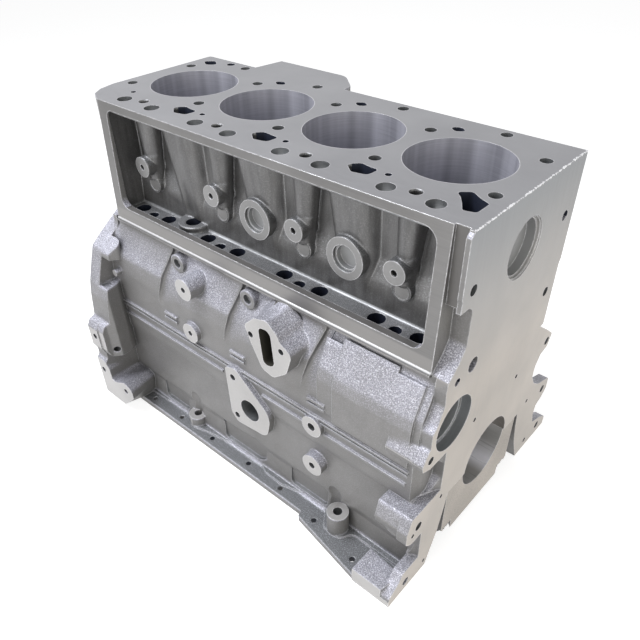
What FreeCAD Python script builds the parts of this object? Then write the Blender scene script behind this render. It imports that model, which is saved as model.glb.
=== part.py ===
import FreeCAD, Part
import math
import os
from FreeCAD import Vector

# Bare cylinder block of a four-cylinder in-line diesel engine, with its five
# main bearing caps, cap bolts, cam bushes, core plugs and small plugs.
# Origin: crankshaft axis at the rear (flywheel) face.  +X runs rearward along
# the crankshaft, +Z runs up through the cylinders, and -Y is the side with the
# camshaft and the open tappet valley.  Millimetres.

# Driving dimensions.
cylinders = 4
bore_diameter = 102.0
bore_spacing = 120.0
deck_height = 322.9
pan_depth = 100.0
rear_overhang = 78.3
front_overhang = 75.3
bore_bottom_z = 101.0

main_bore_diameter = 88.0
cam_axis_y = -89.7
cam_axis_z = 114.2
cam_bore_diameter = 54.0
cam_bush_wall = 2.0
cam_rear_recess_diameter = 60.6
cam_rear_recess_depth = 11.0

front_wall = 27.0
rear_wall = 30.0
rear_flange = 12.3
bulkhead_width = 26.0
cap_width = 25.0
cap_span = 150.0
cap_bolt_inset = 13.0
cap_depth = 89.0
cap_bolt_diameter = 12.0
cap_bolt_hole = 13.0
cap_bolt_length = 118.0
cap_bolt_head_across = 18.0
cap_bolt_head_height = 11.0
cap_seat_diameter = 30.0
cap_seat_z = -74.0
ring_dowel_diameter = 16.0
ring_dowel_length = 12.0

near_wall_y = -130.0
far_wall_y = 127.0
wall_thickness = 8.0
near_bay_y = -118.0
near_deck_y = -106.0
valley_rail_y = -113.0
valley_rail_low_z = 180.0
far_deck_y = 90.0
rail_near_y = -149.0
rail_far_y = 149.0
rail_thickness = 9.0
foot_y = 176.0

valley_floor_z = 192.0
valley_opening_low_z = 198.5
valley_top_wall = 8.9

head_bolt_diameter = 12.0
head_bolt_row_y = 44.6
head_bolt_outer_near_y = -78.7
head_bolt_outer_far_y = 78.5
head_bolt_outer_near_shift = 7.5
head_bolt_outer_far_shift = 3.5
head_bolt_depth = 60.0
pushrod_diameter = 17.0
pushrod_pitch = 48.6
pushrod_y = -86.6
tappet_diameter = 18.0
tappet_y = -90.5
drain_diameter = 13.0
drain_y = -94.5

core_plug_diameter = 57.0
core_plug_recess_diameter = 59.2
core_plug_y = -8.4
core_plug_below_deck = 57.1
valley_plug_diameter = 28.0
valley_plug_z = 240.0
valley_button_z = 250.0
valley_button_shift = 1.0
valley_channel_y = -88.0
valley_channel_top_z = 262.0
small_plug_diameter = 16.0
plug_wall = 2.0
small_plug_z = 226.0
small_plug_shift = 3.0
gallery_y = -58.0
gallery_z = 60.0
gallery_plug_diameter = 14.0
case_dowel_ys = (-112.0, 92.0)
case_dowel_z = 40.0
case_dowel_diameter = 10.0

# Near-side details that a shape and its hole share.
front_foot_y = -177.5
front_foot_low_z = -87.0
pillar_top_z = 95.0
rail_boss_diameter = 26.0
rail_boss_hole_diameter = 11.0
rail_boss_spots = [(-105.0, -128.0, -75.0), (156.0, -138.0, -60.0)]
panel_edge = 143.0
panel_step = 208.0

# Lengthwise stations: parts of the bore spacing, counted from the row middle.
pitch_steps = 120

# Derived positions.
row_middle_x = -(rear_overhang + 0.5 * (cylinders - 1) * bore_spacing)
front_x = row_middle_x - 0.5 * (cylinders - 1) * bore_spacing - front_overhang
rear_x = 0.0
cylinder_x = [row_middle_x + (i - 0.5 * (cylinders - 1)) * bore_spacing for i in range(cylinders)]
main_x = [row_middle_x + (i - 0.5 * cylinders) * bore_spacing for i in range(cylinders + 1)]
pan_z = -pan_depth
bore_r = bore_diameter / 2.0
main_r = main_bore_diameter / 2.0
cap_bolt_pitch = cap_span - 2.0 * cap_bolt_inset
valley_opening_high_z = deck_height - valley_top_wall
core_plug_z = deck_height - core_plug_below_deck


def mid(steps):
    """Lengthwise station counted from the middle of the cylinder row.

    Between the outer cylinders it moves with the bore spacing.  Beyond them
    it keeps its distance from the outer cylinder, and so from the end face."""
    outer = 0.5 * (cylinders - 1) * pitch_steps
    inner = max(-outer, min(outer, steps))
    return row_middle_x + inner * bore_spacing / pitch_steps + steps - inner


# Drawing helpers.
def corner_arc(before, here, after, radius):
    """Tangent points and middle point of a rounded corner, in two dimensions."""
    ax = before[0] - here[0]
    ay = before[1] - here[1]
    bx = after[0] - here[0]
    by = after[1] - here[1]
    la = math.hypot(ax, ay)
    lb = math.hypot(bx, by)
    ax /= la
    ay /= la
    bx /= lb
    by /= lb
    half = 0.5 * math.acos(max(-1.0, min(1.0, ax * bx + ay * by)))
    back = min(radius / math.tan(half), 0.48 * la, 0.48 * lb)
    radius = back * math.tan(half)
    start = (here[0] + ax * back, here[1] + ay * back)
    end = (here[0] + bx * back, here[1] + by * back)
    mx = ax + bx
    my = ay + by
    lm = math.hypot(mx, my)
    reach = radius / math.sin(half) - radius
    middle = (here[0] + mx / lm * reach, here[1] + my / lm * reach)
    return start, middle, end


def straight(before, here, after):
    """True where a corner point lies on the line through its neighbours."""
    cross = (here[0] - before[0]) * (after[1] - here[1]) - (here[1] - before[1]) * (after[0] - here[0])
    return abs(cross) < 1e-6


def outline(points, place):
    """Closed wire through corner points; a third number rounds that corner."""
    count = len(points)
    spans = []
    for i in range(count):
        here = points[i]
        radius = here[2] if len(here) > 2 else 0.0
        if straight(points[i - 1], here, points[(i + 1) % count]):
            radius = 0.0
        if radius > 0.0:
            spans.append(corner_arc(points[i - 1], here, points[(i + 1) % count], radius))
        else:
            spans.append((here[:2], None, here[:2]))
    edges = []
    for i in range(count):
        start, middle, end = spans[i]
        if middle is not None:
            edges.append(Part.Arc(place(*start), place(*middle), place(*end)).toShape())
        following = spans[(i + 1) % count][0]
        if math.hypot(end[0] - following[0], end[1] - following[1]) > 1e-6:
            edges.append(Part.makeLine(place(*end), place(*following)))
    return Part.Wire(edges)


def slab_x(points, x0, x1):
    """Cross-section given as (y, z) and run lengthwise from x0 to x1."""
    wire = outline(points, lambda y, z: Vector(x0, y, z))
    return Part.Face(wire).extrude(Vector(x1 - x0, 0, 0))


def slab_y(points, y0, y1):
    """Side view given as (x, z) and run across from y0 to y1."""
    wire = outline(points, lambda x, z: Vector(x, y0, z))
    return Part.Face(wire).extrude(Vector(0, y1 - y0, 0))


def slab_z(points, z0, z1):
    """Plan view given as (x, y) and run upward from z0 to z1."""
    wire = outline(points, lambda x, y: Vector(x, y, z0))
    return Part.Face(wire).extrude(Vector(0, 0, z1 - z0))


def box(x0, x1, y0, y1, z0, z1):
    return Part.makeBox(x1 - x0, y1 - y0, z1 - z0, Vector(x0, y0, z0))


def rod_x(y, z, r, x0, x1):
    return Part.makeCylinder(r, x1 - x0, Vector(x0, y, z), Vector(1, 0, 0))


def rod_y(x, z, r, y0, y1):
    return Part.makeCylinder(r, y1 - y0, Vector(x, y0, z), Vector(0, 1, 0))


def rod_z(x, y, r, z0, z1):
    return Part.makeCylinder(r, z1 - z0, Vector(x, y, z0), Vector(0, 0, 1))


def joined(first, others):
    return first.multiFuse(others)


def carved(body, tools):
    return body.cut(tools)


# The casting: outer forms.
def upper_block():
    """Cylinder part: the plan view and the side slopes share one solid."""
    plan = [
        (mid(-222), valley_rail_y),
        (mid(-222), near_deck_y),
        (mid(-240), -97.0),
        (mid(-250), -83.0, 6.0),
        (front_x, -62.0, 6.0),
        (front_x, far_deck_y, 4.0),
        (rear_x, far_deck_y, 3.0),
        (rear_x, valley_rail_y),
    ]
    section = [
        (near_deck_y, deck_height),
        (valley_rail_y, valley_rail_low_z),
        (valley_rail_y + 3.0, valley_rail_low_z - 3.0),
        (valley_rail_y + 3.0, 130.0),
        (far_deck_y, 130.0),
        (far_deck_y, deck_height),
    ]
    return slab_z(plan, 120.0, deck_height).common(slab_x(section, front_x, rear_x))


def crankcase():
    """Lower part: cam tunnel bulge, side walls and the two pan rails."""
    section = [
        (valley_rail_y + 3.0, 178.0),
        (valley_rail_y + 3.0, 168.0),
        (-127.0, 134.0, 14.0),
        (near_wall_y, 112.0, 20.0),
        (near_wall_y, 24.0),
        (near_wall_y + 2.5, 18.0),
        (near_wall_y + 2.5, -50.0, 12.0),
        (near_wall_y + 5.0, -60.0, 6.0),
        (near_wall_y + 2.0, pan_z + rail_thickness, 6.0),
        (rail_near_y, pan_z + rail_thickness, 1.0),
        (rail_near_y, pan_z),
        (rail_far_y, pan_z),
        (rail_far_y, pan_z + rail_thickness, 1.0),
        (far_wall_y, pan_z + rail_thickness, 6.0),
        (far_wall_y, 46.0, 20.0),
        (84.0, 128.0, 16.0),
        (84.0, 178.0),
    ]
    return slab_x(section, mid(-240), rear_x - rear_flange)


def frame_bead():
    """Rounded bead where the valley frame stands on the shoulder."""
    section = [
        (valley_rail_y + 4.0, valley_rail_low_z + 3.0),
        (valley_rail_y - 0.5, valley_rail_low_z + 1.8, 0.6),
        (valley_rail_y - 2.6, valley_rail_low_z - 0.8, 0.8),
        (valley_rail_y - 2.0, valley_rail_low_z - 3.2, 0.8),
        (valley_rail_y + 4.0, valley_rail_low_z - 5.0),
    ]
    return slab_x(section, mid(-222), mid(240))


def shoulder_grooves():
    """Wide hollows in the shoulder beside each middle bulkhead.

    Each starts at a steep step down from the bulge before it and runs back
    out gently.  It leans back with the slope above the knee and fades out in
    the upright wall below it."""
    low_z = 88.0
    knee_z = 134.0
    top_z = 180.0
    lean = 13.0
    floor_y = near_wall_y - 0.5
    knee_in = 10.0
    slope_in = 23.0
    tools = []
    for x in main_x[1:4]:
        foot = [
            (x - 28.0, near_wall_y - 25.0),
            (x - 25.0, floor_y - 1.0, 3.0),
            (x - 18.0, floor_y, 8.0),
            (x + 55.0, floor_y - 13.0, 3.0),
            (x + 55.0, near_wall_y - 25.0),
        ]
        knee = [(point[0] + lean, point[1] + knee_in) + tuple(point[2:]) for point in foot]
        lower = outline(foot, lambda px, py: Vector(px, py, low_z))
        upper = outline(knee, lambda px, py: Vector(px, py, knee_z))
        tools.append(Part.Face(lower).extrude(Vector(lean, knee_in, knee_z - low_z)))
        tools.append(Part.Face(upper).extrude(Vector(lean, slope_in, top_z - knee_z)))
    return tools


def wall_pockets():
    """Shallow recesses in the near wall above the rail, and two niches."""
    left = [
        (mid(-177), -56.0, 3.0),
        (mid(-123), -52.0, 6.0),
        (mid(-127), -84.0, 6.0),
        (mid(-175), -84.0, 6.0),
    ]
    middle = [
        (mid(-51), -53.0, 3.0),
        (mid(14), -46.5, 4.0),
        (mid(28), -52.0, 10.0),
        (mid(28), -76.0, 10.0),
        (mid(14), -84.0, 6.0),
        (mid(-49), -84.0, 6.0),
    ]
    right = [
        (mid(71), -57.0, 3.0),
        (mid(131), -49.5, 8.0),
        (mid(131), -84.0, 8.0),
        (mid(72), -84.0, 6.0),
    ]
    tools = [slab_y(view, -140.0, near_wall_y + 6.5) for view in (left, middle, right)]
    for x, top in ((-104.5, -34.0), (143.0, -35.0)):
        radius = 12.5
        tools.append(rod_z(mid(x), -135.0, radius, -84.0, top - radius))
        tools.append(Part.makeSphere(radius, Vector(mid(x), -135.0, top - radius)))
    return tools


def flange_rear():
    """End wall whose outline carries the flywheel housing bolt ears."""
    section = [
        (near_deck_y + 2.0, deck_height),
        (-110.0, deck_height - 5.0, 4.0),
        (-110.0, deck_height - 61.0, 8.0),
        (-103.0, deck_height - 69.0, 3.0),
        (-90.0, deck_height - 76.0, 7.0),
        (-89.5, 208.0, 14.0),
        (-98.0, 193.0, 6.0),
        (-113.0, 178.5, 2.0),
        (-114.0, 168.0, 3.0),
        (-112.5, 152.0, 8.0),
        (-121.0, 133.0, 6.0),
        (-127.5, 127.0, 6.0),
        (-128.0, 106.0, 6.0),
        (-139.0, 93.0, 4.0),
        (-137.5, 85.0, 3.0),
        (-111.0, 73.0, 4.0),
        (-95.5, 64.0, 10.0),
        (-95.5, 40.0, 18.0),
        (-105.0, 23.0, 8.0),
        (-122.0, 20.5, 6.0),
        (-146.0, 19.5, 4.0),
        (-153.0, 2.0, 4.0),
        (-153.0, -13.0, 4.0),
        (-147.0, -19.0, 3.0),
        (-130.0, -28.0, 8.0),
        (-124.0, -42.0, 8.0),
        (-128.0, -64.0, 8.0),
        (-153.0, -66.5, 5.0),
        (-158.0, -75.0, 6.0),
        (-175.0, -86.0, 4.0),
        (-foot_y, pan_z),
        (foot_y + 11.0, pan_z),
        (foot_y + 11.0, -86.0, 4.0),
        (165.0, -72.0, 5.0),
        (142.0, -64.0, 8.0),
        (136.0, -45.0, 8.0),
        (137.0, -29.0, 6.0),
        (150.0, -24.0, 5.0),
        (160.0, -14.0, 5.0),
        (159.0, 4.0, 5.0),
        (124.0, 17.0, 4.0),
        (108.0, 29.0, 5.0),
        (97.0, 46.0, 8.0),
        (97.0, 62.0, 6.0),
        (105.0, 76.0, 5.0),
        (120.0, 79.0, 4.0),
        (126.0, 95.0, 5.0),
        (104.0, 113.0, 4.0),
        (80.0, 131.0, 6.0),
        (79.0, 160.0, 10.0),
        (84.0, 197.0, 8.0),
        (far_deck_y, 212.0, 6.0),
        (far_deck_y, deck_height),
    ]
    return slab_x(section, rear_x - rear_flange, rear_x)


def flange_front():
    """End wall whose outline carries the timing gear case bolt ears."""
    section = [
        (-70.0, 192.0),
        (-90.0, 177.0, 8.0),
        (-103.0, 168.0, 8.0),
        (-126.0, 152.0, 10.0),
        (-140.0, 141.0, 5.0),
        (-145.0, 128.0, 8.0),
        (-151.0, 111.0, 10.0),
        (-156.5, pillar_top_z, 8.0),
        (-160.0, 78.0, 8.0),
        (-164.0, 44.0, 2.0),
        (-172.0, 42.0, 3.0),
        (front_foot_y, 33.0, 4.0),
        (front_foot_y, 2.0, 4.0),
        (-173.0, -8.0, 3.0),
        (-173.0, -18.0, 3.0),
        (front_foot_y, -23.0, 2.0),
        (front_foot_y, front_foot_low_z, 2.0),
        (-151.0, front_foot_low_z, 2.0),
        (rail_near_y, pan_z),
        (foot_y - 4.0, pan_z),
        (foot_y - 4.0, -84.0, 4.0),
        (150.0, -66.0, 6.0),
        (142.0, -30.0, 8.0),
        (156.0, -16.0, 6.0),
        (156.0, 6.0, 6.0),
        (128.0, 30.0, 8.0),
        (130.0, 60.0, 8.0),
        (138.0, 84.0, 6.0),
        (122.0, 112.0, 8.0),
        (92.0, 150.0, 8.0),
        (far_deck_y, 180.0, 6.0),
        (far_deck_y, 230.0),
        (-70.0, 230.0),
    ]
    return slab_x(section, front_x, mid(-234.5))


def front_shoulder():
    """Ledge beside the gear case flange, and the lug below it."""
    section = [
        (near_wall_y + 8.0, 154.5),
        (-128.0, 150.0, 3.0),
        (-142.0, 139.5, 2.0),
        (-142.5, 131.0, 2.0),
        (near_wall_y + 8.0, 129.0),
    ]
    ledge = slab_x(section, mid(-236), mid(-212))
    corner = [
        (mid(-236), -150.0),
        (mid(-221), -150.0),
        (mid(-219), -140.0, 6.0),
        (mid(-211), -124.0, 6.0),
        (mid(-236), -120.0),
    ]
    lug = rod_y(mid(-219.5), 111.5, 4.6, -138.5, near_wall_y + 6.0)
    return [ledge.common(slab_z(corner, 120.0, 160.0)), lug]


def shoulder_slot():
    """Narrow groove between the flange and the shoulder slope."""
    section = [
        (-104.0, 182.0),
        (-103.5, 170.0),
        (-127.0, 148.0),
        (-136.0, 144.0),
        (-150.0, 150.0),
        (-150.0, 182.0),
    ]
    return slab_x(section, mid(-233), mid(-228))


def front_pillar():
    """Upright beside the flange with a square topped pad and a bolt ear."""
    section = [
        (near_wall_y + 6.0, pillar_top_z),
        (-156.5, pillar_top_z, 1.5),
        (-160.0, 78.0, 8.0),
        (-164.0, 44.0, 2.0),
        (-172.0, 41.0, 3.0),
        (-176.0, 33.0, 4.0),
        (-176.0, 3.0, 4.0),
        (-171.0, -10.0, 6.0),
        (near_wall_y + 6.0, -16.0),
    ]
    plan = [
        (mid(-240), near_wall_y + 6.0),
        (mid(-240), -185.0),
        (mid(-222.5), -185.0, 3.0),
        (mid(-222.5), -168.0, 4.0),
        (mid(-216), -158.0, 3.0),
        (mid(-220), -139.0, 5.0),
        (mid(-230), near_wall_y + 6.0),
    ]
    return slab_x(section, mid(-240), mid(-214)).common(slab_z(plan, -20.0, 100.0))


def front_pillar_hollows():
    pad = [
        (mid(-235), -153.0, 2.0),
        (mid(-221), -153.0, 2.0),
        (mid(-223.5), -142.5, 2.0),
        (mid(-232), -142.5, 2.0),
    ]
    dish = slab_z(pad, pillar_top_z - 2.5, pillar_top_z + 1.0)
    return [dish, rod_x(-162.8, 1.0, 4.2, mid(-240), mid(-210))]


def cooler_housing():
    """Far-side housing for the oil cooler: a flange around an open pocket."""
    plan = [
        (mid(-171), far_deck_y - 6.0),
        (mid(-169), 96.0, 3.0),
        (mid(-164), 130.9, 2.0),
        (mid(-57), 130.9, 24.0),
        (mid(-28), 104.0, 10.0),
        (mid(-26), far_deck_y - 6.0),
    ]
    return slab_z(plan, 150.0, deck_height)


def cooler_pocket():
    """Open pocket of the cooler housing, with a rounded frame."""
    view = [
        (mid(-158), 168.0, 12.0),
        (mid(-66), 168.0, 12.0),
        (mid(-66), deck_height - 15.0, 12.0),
        (mid(-158), deck_height - 15.0, 12.0),
    ]
    return slab_y(view, 100.0, 140.0)


def rear_ledges():
    """Thick ribs that run back into the near-side ears of the rear end."""
    upper = [
        (near_wall_y + 8.0, 112.0),
        (-131.0, 106.0, 3.0),
        (-138.5, 93.0, 4.0),
        (-137.5, 86.0, 3.0),
        (near_wall_y + 8.0, 80.0),
    ]
    lower = [
        (near_wall_y + 8.0, 20.0),
        (-146.0, 21.0, 3.0),
        (-152.0, 0.0, 6.0),
        (-149.0, -11.0, 5.0),
        (near_wall_y + 8.0, -22.0),
    ]
    first = slab_x(upper, mid(215), rear_x)
    second = slab_x(lower, mid(217), rear_x)
    dome = rod_y(mid(241), -2.0, 14.0, -149.0, near_wall_y + 8.0)
    return [first, second, dome]


def rear_foot():
    """Rail that widens into the rear corner foot, with a machined side face."""
    plate = [
        (mid(93), near_wall_y + 6.0),
        (mid(93), rail_near_y),
        (mid(107), rail_near_y),
        (mid(109), -156.0, 2.0),
        (mid(214), -foot_y),
        (rear_x, -foot_y),
        (rear_x, near_wall_y + 6.0),
    ]
    pad = [
        (mid(208), -foot_y),
        (mid(247), -foot_y),
        (mid(251), -160.0, 8.0),
        (rear_x, -158.0),
        (rear_x, -148.0),
        (mid(208), -142.0),
    ]
    low = slab_z(plate, pan_z, pan_z + rail_thickness)
    high = slab_z(pad, pan_z, -78.0)
    far_plate = [
        (mid(150), far_wall_y - 6.0),
        (mid(150), rail_far_y),
        (mid(214), foot_y + 11.0),
        (rear_x, foot_y + 11.0),
        (rear_x, far_wall_y - 6.0),
    ]
    far = slab_z(far_plate, pan_z, pan_z + rail_thickness)
    return [low, high, far]


def front_foot():
    """Mounting foot at the front lower corner: two ridges round its holes."""
    face = [
        (front_x, -22.0),
        (mid(-237), -22.0, 8.0),
        (mid(-230), -34.0, 6.0),
        (mid(-229.5), -53.0, 5.0),
        (mid(-215), -49.0, 8.0),
        (mid(-198), -40.0, 12.0),
        (mid(-182), -46.0, 10.0),
        (mid(-182.5), -62.0, 6.0),
        (mid(-210), front_foot_low_z, 4.0),
        (front_x, front_foot_low_z),
    ]
    root = [
        (front_x, -34.0),
        (mid(-243), -35.0, 5.0),
        (mid(-238), -43.0, 5.0),
        (mid(-235), -56.0, 5.0),
        (mid(-226), -59.0, 5.0),
        (mid(-213), -56.0, 5.0),
        (mid(-205), -62.0, 5.0),
        (mid(-204), -72.0, 3.0),
        (mid(-206), pan_z + 2.0, 3.0),
        (front_x, pan_z + 2.0),
    ]
    near = outline(face, lambda x, z: Vector(x, front_foot_y, z))
    wall = outline(root, lambda x, z: Vector(x, near_wall_y + 6.0, z))
    body = Part.makeLoft([near, wall], True, True)
    far_side = [
        (front_x, pan_z),
        (front_x, -50.0, 10.0),
        (mid(-222), -50.0, 20.0),
        (mid(-218), pan_z),
    ]
    far = slab_y(far_side, far_wall_y - 10.0, foot_y - 5.0)
    return [body, far]


def long_ribs():
    """Two thin ribs along the near wall, broken where bosses stand."""
    parts = []
    y0 = near_wall_y - 2.5
    y1 = near_wall_y + 4.0
    upper = [(-234.0, 239.0, 64.5), (-234.0, 239.0, 59.5)]
    for x0, x1, z in upper:
        parts.append(box(mid(x0), mid(x1), y0, y1, z - 1.3, z + 1.3))
    for x0, x1 in [(-232.0, -30.0), (36.0, 100.0), (131.0, 237.0)]:
        parts.append(box(mid(x0), mid(x1), y0, y1, 44.0, 46.8))
    return parts


def wall_pads():
    """Small doubled location pads opposite the middle bulkheads."""
    parts = []
    for i in (1, 2, 3):
        x = main_x[i]
        for z in (86.5, 80.0):
            parts.append(box(x - 12.0, x + 12.0, near_wall_y - 2.5, near_wall_y + 4.0, z - 1.7, z + 1.7))
    return parts


def side_bosses():
    """Round machined bosses on the near wall: x, z, radius, face y."""
    bosses = [
        (mid(-70), 150.0, 13.5, -141.0),
        (mid(-107), 160.0, 11.0, -117.5),
        (mid(11.4), 161.0, 11.0, -117.5),
        (mid(-77.5), 82.5, 13.0, -136.5),
        (mid(117), 51.5, 13.5, -136.5),
        (mid(118), -8.5, 14.0, -138.5),
    ]
    return [rod_y(x, z, r, y, -100.0) for x, z, r, y in bosses]


def side_boss_holes():
    holes = [
        (mid(-70), 150.0, 3.4, -141.0, 24.0),
        (mid(-107), 160.0, 5.5, -117.5, 5.0),
        (mid(11.4), 161.0, 5.5, -117.5, 5.0),
        (mid(-77.5), 82.5, 3.4, -136.5, 12.0),
        (mid(117), 51.5, 5.0, -136.5, 12.0),
        (mid(118), -8.5, 4.2, -138.5, 12.0),
        (mid(-243), 20.0, 4.2, front_foot_y, 16.0),
        (mid(-246), -41.0, 4.2, front_foot_y, 16.0),
        (mid(-198.5), -56.0, 4.2, front_foot_y, 16.0),
    ]
    return [rod_y(x, z, r, y - 1.0, y + depth) for x, z, r, y, depth in holes]


def pump_housing():
    """Lift pump pad: a machined flange on a tapered casting with a slot."""
    flange = [
        (mid(36), 156.0, 7.0),
        (mid(52), 171.0, 6.0),
        (mid(70), 176.0, 8.0),
        (mid(84), 164.0, 10.0),
        (mid(87), 157.0, 8.0),
        (mid(103), 148.0, 9.0),
        (mid(94), 120.0, 12.0),
        (mid(74), 104.0, 9.0),
        (mid(58), 108.0, 9.0),
        (mid(44), 136.0, 20.0),
    ]
    back_y = -112.0
    root_y = -128.0
    flare = 1.14
    centre_x = mid(68)
    centre_z = 138.0
    wide = []
    for point in flange:
        spread_x = centre_x + (point[0] - centre_x) * flare
        spread_z = centre_z + (point[1] - centre_z) * flare
        wide.append((spread_x, spread_z, point[2] * flare))
    narrow = outline(flange, lambda px, pz: Vector(px, root_y, pz))
    spread = outline(wide, lambda px, pz: Vector(px, back_y, pz))
    pad = slab_y(flange, -146.0, root_y)
    return [pad, Part.makeLoft([narrow, spread], True, True)]


def pump_slot():
    slot = [
        (mid(57), 162.0, 6.0),
        (mid(74), 165.0, 8.0),
        (mid(77), 120.0, 8.0),
        (mid(61), 115.0, 6.0),
    ]
    cut = slab_y(slot, -150.0, -100.0)
    left = rod_y(mid(44.5), 147.0, 3.6, -147.0, -132.0)
    right = rod_y(mid(88), 146.0, 3.6, -147.0, -132.0)
    return [cut, left, right]


def oil_flange():
    """Three-cornered oil flange with one large bore and two bolt holes."""
    view = [
        (mid(-19), 63.0, 6.0),
        (mid(-1), 68.0, 8.0),
        (mid(53), 22.0, 22.0),
        (mid(44), -15.0, 14.0),
        (mid(-8), -21.0, 8.0),
        (mid(-17), -10.0, 8.0),
        (mid(-18), 22.0, 20.0),
    ]
    return slab_y(view, -136.5, near_wall_y + 4.0)


def oil_flange_holes():
    return [
        rod_y(mid(17.5), 12.5, 15.0, -140.0, -112.0),
        rod_y(mid(-7), 52.0, 4.2, -140.0, -124.0),
        rod_y(mid(-7), -9.5, 4.2, -140.0, -124.0),
    ]


def stepped_panels():
    """Two raised panels on the shoulder between the pump pad and the rear."""
    wide = [
        (valley_rail_y + 1.0, 171.0),
        (-130.0, 133.0, 8.0),
        (near_wall_y - 3.0, 118.0, 8.0),
        (near_wall_y - 3.0, 70.0, 6.0),
        (near_wall_y + 6.0, 66.0),
        (-100.0, 120.0),
    ]
    tall = slab_x(wide, mid(panel_edge), mid(panel_step))
    wide[0] = (valley_rail_y - 2.0, 165.0)
    wide.append((valley_rail_y + 6.0, 165.0))
    short = slab_x(wide, mid(panel_step), mid(238))
    thin = [
        (-112.5, 162.5),
        (-127.5, 134.0, 8.0),
        (near_wall_y - 0.8, 118.0, 8.0),
        (near_wall_y - 0.8, 76.0, 6.0),
        (near_wall_y + 6.0, 72.0),
        (-100.0, 120.0),
    ]
    left = slab_x(thin, mid(121), mid(panel_edge) + 1.0)
    return [tall, short, left]


def rail_bosses():
    """Vertical bosses with dark holes on the near pan rail, and their holes."""
    posts = []
    for x, y, top in rail_boss_spots:
        posts.append(rod_z(mid(x), y, rail_boss_diameter / 2.0, pan_z, top))
    return posts


def rail_boss_holes():
    holes = []
    for x, y, top in rail_boss_spots:
        holes.append(rod_z(mid(x), y, rail_boss_hole_diameter / 2.0, pan_z - 1.0, top + 1.0))
    return holes


def rail_swell():
    """Low wavy step where the near wall runs out onto the pan rail."""
    edge = [
        (-214.0, -133.0, 6.0),
        (-172.0, -131.0, 6.0),
        (-157.0, -126.0, 10.0),
        (-131.0, -128.0, 10.0),
        (-102.0, -142.0, 10.0),
        (-87.0, -137.5, 10.0),
        (-63.0, -133.0, 12.0),
        (-42.0, -130.0, 12.0),
        (-29.0, -126.0, 12.0),
        (16.0, -127.0, 12.0),
        (32.0, -135.0, 10.0),
        (60.0, -136.0, 10.0),
        (82.0, -131.0, 12.0),
        (97.0, -127.0, 12.0),
        (128.0, -127.0, 12.0),
        (143.0, -150.0, 12.0),
        (168.0, -150.0, 12.0),
        (176.0, -134.5, 10.0),
    ]
    rail_top = pan_z + rail_thickness
    end_x = rear_x - rear_flange + 2.0
    plan = [(mid(point[0]),) + tuple(point[1:]) for point in edge]
    plan.append((end_x, near_wall_y - 5.5))
    plan.append((end_x, near_wall_y + 10.0))
    plan.append((mid(-214), near_wall_y + 10.0))
    return slab_z(plan, rail_top - 2.0, rail_top + 2.5)


# The casting: hollow forms.
def taper_z(low, low_z, high, high_z):
    """Solid between two plan outlines of the same number of corners."""
    bottom = outline(low, lambda x, y: Vector(x, y, low_z))
    top = outline(high, lambda x, y: Vector(x, y, high_z))
    return Part.makeLoft([bottom, top], True, True)


def bolt_column(x):
    """Tapered column round an outer head bolt, seen inside the valley."""
    centre = x + head_bolt_outer_near_shift
    low = Part.Wire(Part.makeCircle(8.5, Vector(x + 3.0, -76.0, 232.0)))
    high = Part.Wire(Part.makeCircle(15.5, Vector(centre, -75.5, deck_height)))
    return Part.makeLoft([low, high], True, True)


def bulkhead_bulge(x):
    """Swelling of the valley wall over a bulkhead, leaning to the rear."""
    low = [
        (x - 24.0, -56.0),
        (x - 9.0, -77.0, 10.0),
        (x + 24.0, -77.0, 12.0),
        (x + 40.0, -56.0),
    ]
    high = [
        (x - 40.0, -56.0),
        (x - 24.0, -87.5, 16.0),
        (x + 16.0, -87.5, 18.0),
        (x + 36.0, -56.0),
    ]
    return taper_z(low, 188.0, high, deck_height)


def valley():
    """Tappet valley behind the machined frame."""
    opening = [
        (mid(-208), valley_opening_low_z, 12.0),
        (mid(228), valley_opening_low_z, 12.0),
        (mid(228), valley_opening_high_z, 14.0),
        (mid(-208), valley_opening_high_z, 10.0),
    ]
    ceiling = valley_opening_high_z - 3.0
    hollow = [
        (-104.0, valley_floor_z),
        (-78.0, valley_floor_z, 3.0),
        (-76.0, 222.0, 12.0),
        (-69.0, 244.0, 16.0),
        (-69.0, ceiling, 6.0),
        (-104.0, ceiling),
    ]
    cut = slab_x(hollow, mid(-212), mid(230))
    keep = []
    for x in cylinder_x:
        keep.append(bolt_column(x))
        keep.append(rod_y(x + valley_button_shift, valley_button_z, 12.0, -93.0, -60.0))
        keep.append(rod_y(x + small_plug_shift, small_plug_z, 10.5, -82.0, -60.0))
    for x in main_x[1:4]:
        keep.append(bulkhead_bulge(x))
    for x in main_x[2:4]:
        keep.append(rod_y(x + 1.5, valley_plug_z, 22.0, -88.5, -60.0))
    keep.append(rod_z(main_x[1] + 9.0, -79.0, 20.0, 180.0, 199.0))
    cut = cut.cut(keep)
    foot_spot = Vector(main_x[1] + 1.0, valley_channel_y - 2.0, valley_floor_z + 7.0)
    tip_spot = Vector(main_x[1] - 3.0, valley_channel_y, valley_channel_top_z)
    foot = Part.Wire(Part.makeCircle(14.0, foot_spot))
    tip = Part.Wire(Part.makeCircle(5.0, tip_spot))
    channel = Part.makeLoft([foot, tip], True, True)
    return [slab_y(opening, -120.0, -103.0), cut, channel]


def rear_pocket():
    """Cast pocket between the valley frame and the rear end."""
    upper = box(mid(240.5), mid(253.5), -125.0, -103.5, deck_height - 93.0, deck_height + 5.0)
    section = [
        (-125.0, deck_height - 73.0, 4.0),
        (-96.0, deck_height - 73.0, 8.0),
        (-89.5, deck_height - 79.0, 8.0),
        (-89.5, 206.0, 14.0),
        (-98.0, 193.0, 6.0),
        (-125.0, 167.0),
    ]
    lower = slab_x(section, mid(240.5), rear_x + 5.0)
    return [upper, lower]


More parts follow.
